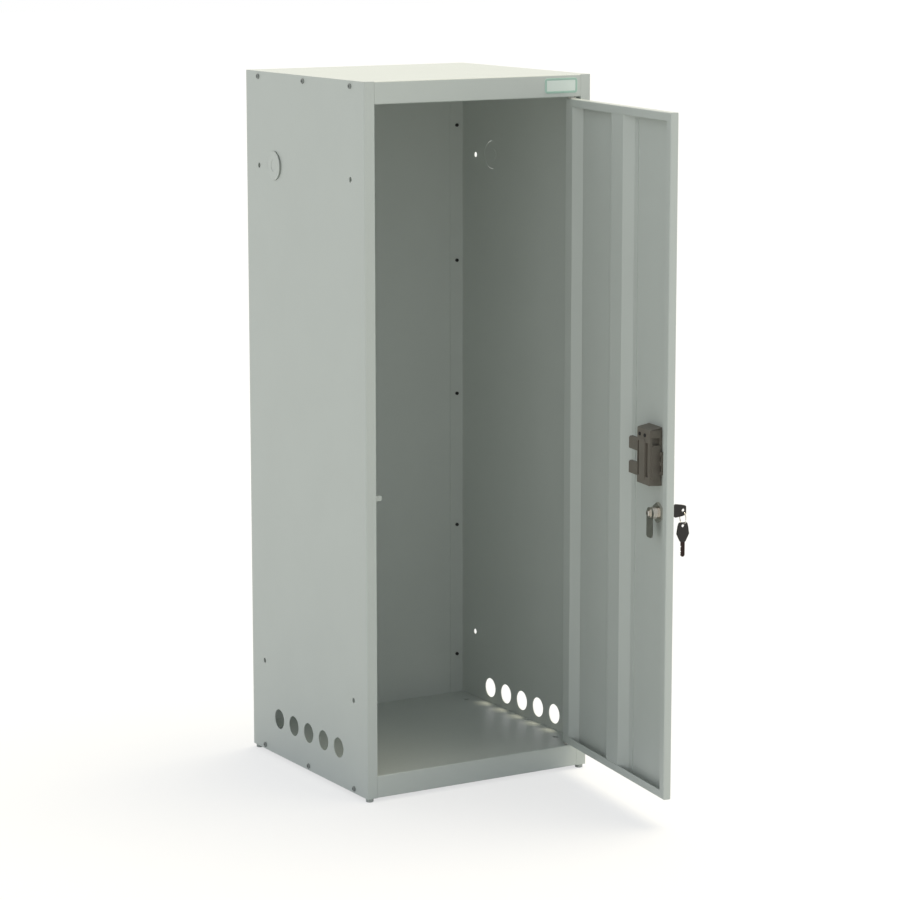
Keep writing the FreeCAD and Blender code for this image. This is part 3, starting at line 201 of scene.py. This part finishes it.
@dataclass(frozen=True)
class Finish:
    """One finish: two close colours, a gloss and a fine texture, with sizes in millimetres."""

    name: str
    colour: str
    shade: str
    texture: Texture
    roughness: float
    roughness_swing: float
    patch_mm: float
    grain_mm: float
    grain_depth_mm: float
    metallic: float = 0.0
    coat: float = 0.0

    def material(self) -> bpy.types.Material:
        """Builds the procedural material of this finish on Object coordinates.

        Returns:
            The material, whose colour, roughness and bump follow the finish's texture.
        """
        made = bpy.data.materials.new(self.name)
        made.use_nodes = True
        tree = made.node_tree
        tree.nodes.clear()
        place = add_node(tree, "ShaderNodeTexCoord").outputs["Object"]
        patches = add_node(
            tree,
            "ShaderNodeTexNoise",
            {"Scale": per_metre(self.patch_mm), "Detail": PATCH_DETAIL, "Roughness": PATCH_ROUGHNESS},
            {"Vector": place},
        ).outputs["Fac"]
        grain = self.grain(tree, place)
        colour = add_node(
            tree,
            "ShaderNodeMix",
            {"A": linear(self.colour), "B": linear(self.shade)},
            {"Factor": patches},
            data_type="RGBA",
        )
        gloss = add_node(
            tree,
            "ShaderNodeMapRange",
            {
                "To Min": self.roughness - self.roughness_swing,
                "To Max": self.roughness + self.roughness_swing,
            },
            {"Value": grain},
        ).outputs["Result"]
        bump = add_node(
            tree,
            "ShaderNodeBump",
            {"Strength": 1.0, "Distance": self.grain_depth_mm * MM},
            {"Height": grain},
        ).outputs["Normal"]
        shader = add_node(
            tree,
            "ShaderNodeBsdfPrincipled",
            {"Metallic": self.metallic, "Coat Weight": self.coat, "Coat Roughness": COAT_ROUGHNESS},
            {"Base Color": colour.outputs["Result"], "Roughness": gloss, "Normal": bump},
        )
        add_node(tree, "ShaderNodeOutputMaterial", None, {"Surface": shader.outputs["BSDF"]})
        return made

    def grain(self, tree: bpy.types.NodeTree, place: bpy.types.NodeSocket) -> bpy.types.NodeSocket:
        """Adds the fine texture of the finish.

        Args:
            tree: Node tree of the material.
            place: Object coordinates.

        Returns:
            The output that holds the texture's height from 0 to 1.
        """
        scale = per_metre(self.grain_mm)
        if self.texture is Texture.SPANGLE:
            cells = add_node(
                tree, "ShaderNodeTexVoronoi", {"Scale": scale}, {"Vector": place}, feature="SMOOTH_F1"
            )
            return cells.outputs["Distance"]
        if self.texture is Texture.BRUSHED:
            drawn = add_node(tree, "ShaderNodeMapping", {"Scale": BRUSH_STRETCH}, {"Vector": place})
            place = drawn.outputs["Vector"]
        values = {"Scale": scale, "Detail": GRAIN_DETAIL[self.texture], "Roughness": GRAIN_ROUGHNESS}
        noise = add_node(tree, "ShaderNodeTexNoise", values, {"Vector": place})
        return noise.outputs["Fac"]


# Polyester powder coat on steel sheet, sprayed and baked: an even light grey with a soft sheen, whose
# surface lies in low waves like orange peel. They are about 2 mm apart, and drawn at 5 mm to show.
POWDER_COAT = Finish(
    "light_grey_powder_coat", "#C7CCC7", "#C2C7C2", Texture.PEEL, 0.40, 0.05, 90.0, 5.0, 0.012
)

# Bright zinc on turned and pressed steel: a bluish grey metal with faint crystals and a satin gloss.
# On the metals and small mouldings from here on, the real grain is finer than 0.3 mm, and is drawn at
# 0.6 to 1.5 mm to show.
ZINC_PLATE = Finish(
    "bright_zinc_plate", "#BFC1C0", "#AFB2B3", Texture.SPANGLE, 0.34, 0.08, 6.0, 1.2, 0.01, metallic=1.0
)

# Nickel over die-cast zinc: a warm bright metal, polished on a wheel along its length.
NICKEL_PLATE = Finish(
    "wheel_polished_nickel", "#D0CCC4", "#C4C0B8", Texture.BRUSHED, 0.2, 0.05, 8.0, 0.8, 0.004, metallic=1.0
)

# Stamped key blades, tumbled to a half gloss. The metal's dark, slightly brown tone is painted reflection: it
# stands in for the dark surroundings that the blades mirror.
KEY_METAL_PAINTED_DARK = Finish(
    "key_metal_with_painted_reflection", "#413734", "#352C2A", Texture.BRUSHED, 0.36, 0.07, 5.0, 0.7, 0.006, metallic=1.0
)

# Black oxide on rivets and screws: a thin film that leaves steel almost black and faintly glossy.
BLACK_OXIDE = Finish(
    "black_oxide_steel", "#3B3A39", "#302F2E", Texture.SPARK, 0.44, 0.08, 4.0, 0.9, 0.01, metallic=0.6
)

# Zinc phosphate on the assembly bolts: a dull mid-grey crystal coat, oiled, with almost no gloss.
PHOSPHATE = Finish(
    "oiled_zinc_phosphate", "#898D8A", "#7F8380", Texture.SPANGLE, 0.55, 0.06, 4.0, 0.8, 0.01, metallic=0.25
)

# Stamped brass strip: a yellow metal, left bare.
BRASS_STRIP = Finish(
    "stamped_brass", "#CFAE6C", "#BB9A5A", Texture.BRUSHED, 0.30, 0.06, 4.0, 0.6, 0.004, metallic=1.0
)

# Glass-filled nylon from a spark-eroded mould: a warm dark grey with an even fine grain and no gloss spots.
# The grain is about 0.3 mm on the moulding and is drawn at 1.4 mm to show.
HANDLE_PLASTIC = Finish(
    "spark_grained_nylon", "#767067", "#6D675E", Texture.SPARK, 0.52, 0.07, 25.0, 1.4, 0.03
)

# ABS over-moulded on the keys: almost black, with a half gloss from handling.
KEY_PLASTIC = Finish("moulded_abs", "#1B1612", "#14100D", Texture.SPARK, 0.46, 0.08, 9.0, 0.9, 0.02)

# Polyethylene glides: pale grey and waxy.
GLIDE_PLASTIC = Finish("waxy_polyethylene", "#B4B8B4", "#ABAFAB", Texture.PEEL, 0.48, 0.06, 8.0, 1.5, 0.01)

# Acetal bushes: a warm natural white that slides without grease.
BUSH_PLASTIC = Finish("natural_acetal", "#DAD7CE", "#D0CDC4", Texture.PEEL, 0.38, 0.04, 8.0, 1.5, 0.005)

# Stove enamel on a thin aluminium plate: a pale green-white with a clear gloss over it.
PLATE_ENAMEL = Finish(
    "pale_stove_enamel", "#DEE8E2", "#D7E2DB", Texture.PEEL, 0.30, 0.04, 15.0, 4.0, 0.004, coat=0.4
)

# The raised edge of that plate, enamelled a shade deeper.
PLATE_EDGE = Finish(
    "grey_green_enamel", "#A6C6B8", "#9DBFB0", Texture.PEEL, 0.34, 0.04, 9.0, 3.0, 0.004, coat=0.3
)

SLOT_FINISHES: dict[str, Finish] = {
    "powder_coat": POWDER_COAT,
    "zinc_plated_steel": ZINC_PLATE,
    "lock_nickel": NICKEL_PLATE,
    "key_dark_nickel": KEY_METAL_PAINTED_DARK,
    "blackened_steel": BLACK_OXIDE,
    "phosphated_steel": PHOSPHATE,
    "wafer_brass": BRASS_STRIP,
    "handle_plastic": HANDLE_PLASTIC,
    "key_plastic": KEY_PLASTIC,
    "glide_plastic": GLIDE_PLASTIC,
    "bush_plastic": BUSH_PLASTIC,
    "blank_plate": PLATE_ENAMEL,
}


class Workshop:
    """Makes each finish once and gives it to CAD nodes and to new pieces."""

    def __init__(self) -> None:
        """Starts with no material made."""
        self.made: dict[str, bpy.types.Material] = {}

    def coat(self, piece: bpy.types.Object, finish: Finish) -> None:
        """Gives a piece one finish all over.

        Args:
            piece: CAD node or new piece.
            finish: Finish that it gets.
        """
        if finish.name not in self.made:
            self.made[finish.name] = finish.material()
        piece.data.materials.clear()
        piece.data.materials.append(self.made[finish.name])

    def coat_nodes(self) -> None:
        """Gives every CAD node the finish of its material slot."""
        for entry in frame["record"]["subparts"]:
            finish = SLOT_FINISHES[entry["material_slot"]]
            self.coat(frame["nodes"][entry["node"]], finish)
            LOG.info("node %s is finished in %s", entry["node"], finish.name)

    def fit(self, piece: bpy.types.Object, body: str, finish: Finish) -> None:
        """Finishes a new piece and lets it ride on a body.

        Args:
            piece: New piece, in its place.
            body: CAD body that carries it.
            finish: Finish that it gets.
        """
        self.coat(piece, finish)
        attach(piece, body)
        LOG.info("piece %s rides on %s", piece.name, body)


# Directions and joints


UP = np.array([0.0, 0.0, 1.0])
FORWARD = np.array([0.0, -1.0, 0.0])


def joint(name: str) -> tuple[np.ndarray, np.ndarray]:
    """Finds where a joint of the record lies at rest.

    Args:
        name: Name of the joint.

    Returns:
        A point on its axis in millimetres, and the axis's direction.
    """
    found = next(j for j in frame["joints"] if j["name"] == name)
    return np.array(found["pos_m"]) / MM, np.array(found["axis"], dtype=float)


# Sub-assemblies


@dataclass
class NamePlate:
    """Blank plate on the header, with a raised edge."""

    inset_mm: float = 1.9
    half_width_mm: float = 1.7
    rise_mm: float = 0.35
    corner_mm: float = 2.6
    arc_steps: int = 10
    round_steps: int = 12

    def edge_path(self) -> tuple[np.ndarray, np.ndarray]:
        """Rounded rectangle just inside the plate's outline: four quarter circles joined by straight runs.

        Returns:
            Points on the path in millimetres, and the outward direction at each one, both shaped (n, 3).
        """
        low, high = (np.array(corner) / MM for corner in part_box("name_plate"))
        quarter = np.linspace(0.0, math.pi / 2, self.arc_steps)
        angles = (quarter[None, :] + np.arange(4)[:, None] * math.pi / 2).ravel()
        out = np.stack([np.cos(angles), np.zeros_like(angles), np.sin(angles)], axis=-1)
        sign = np.repeat(np.array([[1, 1], [-1, 1], [-1, -1], [1, -1]]), self.arc_steps, axis=0)
        reach = (high - low) / 2 - self.inset_mm - self.corner_mm
        middle = (high + low) / 2
        path = out * self.corner_mm
        path[:, 0] += middle[0] + sign[:, 0] * reach[0]
        path[:, 1] += low[1]
        path[:, 2] += middle[2] + sign[:, 1] * reach[2]
        return path, out

    def build(self, shop: Workshop) -> None:
        """Carries an ellipse along the plate's edge: outward by its cosine, forward by its sine.

        Args:
            shop: Workshop that finishes the raised edge.
        """
        path, out = self.edge_path()
        turn = np.linspace(0.0, 2 * math.pi, self.round_steps, endpoint=False)[None, :, None]
        across = self.half_width_mm * np.cos(turn) * out[:, None, :]
        forward = self.rise_mm * np.sin(turn) * FORWARD
        edge = grid_mesh("name_plate_edge", path[:, None, :] + across + forward, capped=False)
        shop.fit(edge, "cabinet", PLATE_EDGE)


@dataclass
class DoorWelds:
    """Spot welds that show through the paint on the feet of the door's stiffener."""

    from_middle_mm: float = 47.0
    rows: int = 9
    end_mm: float = 45.0
    radius_mm: float = 3.2
    rise_mm: float = 0.16
    sunk_mm: float = 0.05
    tip_share: float = 0.15
    ring_steps: int = 7
    round_steps: int = 24
    foot_depth_mm: float = 2.0
    hinge_setback_mm: float = 6.25

    def centres(self) -> np.ndarray:
        """Spaces two columns of welds evenly up the door, one on each side of the hat section.

        Returns:
            Weld places in millimetres, shaped (welds, 3).
        """
        hinge, _ = joint("door_hinge")
        _, inward = joint("lock_turn")
        along = np.cross(inward, UP)
        low, high = (np.array(corner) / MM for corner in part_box("door_stiffener"))
        heights = np.linspace(low[2] + self.end_mm, high[2] - self.end_mm, self.rows)
        middle = self.middle_from_hinge(hinge, along)
        aside = middle + np.array([-self.from_middle_mm, self.from_middle_mm])
        base = hinge + inward * (self.foot_depth_mm - self.hinge_setback_mm)
        flat = base[None, None, :] + along[None, None, :] * aside[None, :, None]
        places = np.broadcast_to(flat, (self.rows, 2, 3)).copy()
        places[..., 2] = heights[:, None]
        return places.reshape(-1, 3)

    def middle_from_hinge(self, hinge: np.ndarray, along: np.ndarray) -> float:
        """Measures along the door from its hinge pins to the middle of the stiffener.

        Args:
            hinge: A point on the hinge's axis in millimetres.
            along: Level direction along the door.

        Returns:
            The distance in millimetres, with its sign.
        """
        low, high = (np.array(corner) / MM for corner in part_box("door_stiffener"))
        return float(((low + high) / 2 - hinge) @ (along * np.array([1.0, 1.0, 0.0])))

    def build(self, shop: Workshop) -> None:
        """Presses a low lens at each place, whose height falls with the cosine of the way to its rim.

        The innermost ring would shrink to a point, so it is drawn in to a small share of the next one.

        Args:
            shop: Workshop that finishes the welds.
        """
        _, inward = joint("lock_turn")
        along = np.cross(inward, UP)
        share = np.linspace(0.0, 1.0, self.ring_steps)
        turn = np.linspace(0.0, 2 * math.pi, self.round_steps, endpoint=False)
        spoke = np.cos(turn)[:, None] * along + np.sin(turn)[:, None] * UP
        height = self.rise_mm * 0.5 * (1 + np.cos(math.pi * share)) - self.sunk_mm
        lens = self.radius_mm * share[::-1, None, None] * spoke[None, :, :]
        lens = lens + height[::-1, None, None] * inward
        crown = inward * (self.rise_mm - self.sunk_mm)
        lens[-1] = lens[-2] * self.tip_share + crown * (1.0 - self.tip_share)
        for number, centre in enumerate(self.centres()):
            weld = grid_mesh(f"door_spot_weld_{number + 1:02d}", centre + lens, capped=True)
            shop.fit(weld, "door", POWDER_COAT)


@dataclass
class LockThread:
    """Screw thread on the part of the lock's barrel that stands behind its nut."""

    core_mm: float = 8.9
    depth_mm: float = 0.42
    pitch_mm: float = 1.25
    from_skin_mm: float = 6.3
    length_mm: float = 8.2
    round_steps: int = 64
    steps_per_turn: int = 8

    def build(self, shop: Workshop) -> None:
        """Turns a sleeve whose radius rises and falls once per pitch, and climbs one pitch in a turn.

        Args:
            shop: Workshop that finishes the sleeve.
        """
        centre, inward = joint("lock_turn")
        along = np.cross(inward, UP)
        count = int(self.length_mm / self.pitch_mm * self.steps_per_turn)
        reach = np.linspace(0.0, self.length_mm, count)[:, None]
        turn = np.linspace(0.0, 2 * math.pi, self.round_steps, endpoint=False)[None, :]
        phase = (reach / self.pitch_mm - turn / (2 * math.pi)) % 1.0
        ridge = self.depth_mm * (1.0 - np.abs(2.0 * phase - 1.0))
        to_end = np.minimum(reach, self.length_mm - reach)
        fade = smooth_step(to_end / self.pitch_mm)
        radius = (self.core_mm + ridge * fade)[..., None]
        spoke = np.cos(turn)[..., None] * along + np.sin(turn)[..., None] * UP
        grid = centre + inward * (self.from_skin_mm + reach)[..., None] + radius * spoke
        sleeve = grid_mesh("lock_barrel_thread", grid, capped=True)
        shop.fit(sleeve, "door", NICKEL_PLATE)


@dataclass
class SplitRing:
    """Key ring of two turns of round wire, side by side."""

    radius_mm: float = 10.0
    wire_mm: float = 0.42
    turns: float = 1.97
    steps: int = 220
    round_steps: int = 10
    start_deg: float = 200.0
    step_from: float = 0.44
    step_share: float = 0.12
    closeness: float = 0.95
    thinnest: float = 0.05

    def build(self, shop: Workshop) -> None:
        """Winds the wire: two turns about the ring's axis, stepping over by one wire at mid-length.

        Args:
            shop: Workshop that finishes the ring.
        """
        centre, axis = joint("spare_key_swing")
        along = np.cross(axis, UP)
        share = np.linspace(0.0, 1.0, self.steps)
        angle = math.radians(self.start_deg) + share * self.turns * 2 * math.pi
        spoke = np.cos(angle)[:, None] * along + np.sin(angle)[:, None] * UP
        step = smooth_step((share - self.step_from) / self.step_share)
        over = (step - 0.5) * 2.0 * self.wire_mm * self.closeness
        path = centre + self.radius_mm * spoke + over[:, None] * axis
        taper = np.minimum(share, 1.0 - share) * self.turns * 2 * math.pi * self.radius_mm
        wire = self.wire_mm * np.sqrt(np.clip(taper / self.wire_mm, self.thinnest, 1.0))
        turn = np.linspace(0.0, 2 * math.pi, self.round_steps, endpoint=False)
        section = np.cos(turn)[None, :, None] * spoke[:, None, :] + np.sin(turn)[None, :, None] * axis
        ring = grid_mesh("split_key_ring", path[:, None, :] + wire[:, None, None] * section, capped=True)
        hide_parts("key_ring")
        shop.fit(ring, "key_ring_body", NICKEL_PLATE)


# Studio


WHITE = (1.0, 1.0, 1.0, 1.0)


@dataclass
class Studio:
    """Pale floor and white surround, with soft light from all round and a broad lamp from above."""

    floor_size_m: float = 60.0
    floor_colour: str = "#D8DDE1"
    shown_floor_colour: str = "#F4F4F4"
    shown_glow: float = 0.66
    sky_colour: str = "#EFF4F8"
    sky_strength: float = 0.66
    sun_colour: tuple[float, float, float] = (1.0, 0.91, 0.70)
    sun_strength: float = 2.55
    sun_softness_deg: float = 42.0
    sun_azimuth_deg: float = 92.0
    sun_elevation_deg: float = 70.0

    def seen(self, tree: bpy.types.NodeTree) -> bpy.types.NodeSocket:
        """Adds a test for rays from the camera, from shiny surfaces and through clear ones.

        Args:
            tree: Node tree that gets the test.

        Returns:
            An output of 1 for those rays and 0 for the light that falls on the object.
        """
        path = add_node(tree, "ShaderNodeLightPath").outputs
        rays = {0: path["Is Glossy Ray"], 1: path["Is Transmission Ray"]}
        shiny = add_node(tree, "ShaderNodeMath", None, rays, operation="MAXIMUM")
        rays = {0: path["Is Camera Ray"], 1: shiny.outputs["Value"]}
        either = add_node(tree, "ShaderNodeMath", None, rays, operation="MAXIMUM")
        return either.outputs["Value"]

    def build_world(self) -> None:
        """Lights the object evenly from all round, and shows white behind it."""
        world = bpy.data.worlds.new("studio_surround")
        world.use_nodes = True
        tree = world.node_tree
        tree.nodes.clear()
        light = add_node(
            tree, "ShaderNodeBackground", {"Color": linear(self.sky_colour), "Strength": self.sky_strength}
        )
        white = add_node(tree, "ShaderNodeBackground", {"Color": WHITE, "Strength": 1.0})
        pair = {1: light.outputs["Background"], 2: white.outputs["Background"]}
        mix = add_node(tree, "ShaderNodeMixShader", None, {"Fac": self.seen(tree)} | pair)
        add_node(tree, "ShaderNodeOutputWorld", None, {"Surface": mix.outputs["Shader"]})
        bpy.context.scene.world = world

    def build_floor(self) -> None:
        """Lays a flat sheet that shows almost white and keeps the object's shadow."""
        half = self.floor_size_m / 2
        corners = np.array([[-1, -1, 0], [1, -1, 0], [1, 1, 0], [-1, 1, 0]]) * half
        mesh = bpy.data.meshes.new("studio_floor")
        mesh.from_pydata(corners.tolist(), [], [[0, 1, 2, 3]])
        floor = bpy.data.objects.new("studio_floor", mesh)
        bpy.context.scene.collection.objects.link(floor)
        material = bpy.data.materials.new("matt_paper")
        material.use_nodes = True
        tree = material.node_tree
        tree.nodes.clear()
        plain = add_node(tree, "ShaderNodeBsdfDiffuse", {"Color": linear(self.floor_colour)})
        shown = add_node(tree, "ShaderNodeBsdfDiffuse", {"Color": linear(self.shown_floor_colour)})
        glow = add_node(tree, "ShaderNodeEmission", {"Color": WHITE, "Strength": 1.0})
        pair = {1: shown.outputs["BSDF"], 2: glow.outputs["Emission"]}
        white = add_node(tree, "ShaderNodeMixShader", {"Fac": self.shown_glow}, pair)
        pair = {1: plain.outputs["BSDF"], 2: white.outputs["Shader"]}
        mix = add_node(tree, "ShaderNodeMixShader", None, {"Fac": self.seen(tree)} | pair)
        add_node(tree, "ShaderNodeOutputMaterial", None, {"Surface": mix.outputs["Shader"]})
        mesh.materials.append(material)

    def build_lamp(self) -> None:
        """Hangs one broad, slightly warm lamp high on the object's right."""
        lamp = bpy.data.lights.new("overhead_softbox", "SUN")
        lamp.energy = self.sun_strength
        lamp.color = self.sun_colour
        lamp.angle = math.radians(self.sun_softness_deg)
        holder = bpy.data.objects.new("overhead_softbox", lamp)
        azimuth = math.radians(self.sun_azimuth_deg)
        elevation = math.radians(self.sun_elevation_deg)
        level = math.cos(elevation)
        towards = Vector((level * math.sin(azimuth), level * math.cos(azimuth), math.sin(elevation)))
        holder.rotation_euler = towards.to_track_quat("Z", "Y").to_euler()
        bpy.context.scene.collection.objects.link(holder)

    def build(self) -> None:
        """Builds the surround, the floor and the lamp."""
        self.build_world()
        self.build_floor()
        self.build_lamp()
        LOG.info("studio is lit")


@dataclass
class PhotoCamera:
    """Camera at the photograph's viewing angle, from corners of the cabinet measured in its frame."""

    place_m: tuple[float, float, float] = (-2.46071, -4.26155, 1.38168)
    yaw_deg: float = 30.6199
    pitch_deg: float = 10.0958
    roll_deg: float = -0.0384
    lens_mm: float = 125.248
    sensor_mm: float = 36.0
    reach_m: float = 200.0

    def build(self) -> None:
        """Turns the camera by its yaw, its downward pitch and its roll, and makes it the scene's own."""
        yaw, pitch, roll = (math.radians(a) for a in (self.yaw_deg, self.pitch_deg, self.roll_deg))
        level = math.cos(pitch)
        ahead = Vector((math.sin(yaw) * level, math.cos(yaw) * level, -math.sin(pitch)))
        right = Vector((math.cos(yaw), -math.sin(yaw), 0.0))
        above = right.cross(ahead)
        turned_right = math.cos(roll) * right + math.sin(roll) * above
        turned_up = math.cos(roll) * above - math.sin(roll) * right
        data = bpy.data.cameras.new("photo_camera")
        data.lens = self.lens_mm
        data.sensor_width = self.sensor_mm
        data.clip_end = self.reach_m
        camera = bpy.data.objects.new("photo_camera", data)
        turn = Matrix((turned_right, turned_up, -ahead)).transposed().to_4x4()
        camera.matrix_world = Matrix.Translation(Vector(self.place_m)) @ turn
        bpy.context.scene.collection.objects.link(camera)
        bpy.context.scene.camera = camera


def main() -> None:
    """Dresses the cabinet, and sets up the camera and the studio."""
    logging.basicConfig(level=logging.INFO, format="%(name)s: %(message)s")
    bpy.context.scene.view_settings.view_transform = "Standard"
    PhotoCamera().build()
    Studio().build()
    shop = Workshop()
    shop.coat_nodes()
    for assembly in (NamePlate(), DoorWelds(), LockThread(), SplitRing()):
        assembly.build(shop)


if __name__ == "__main__":
    main()
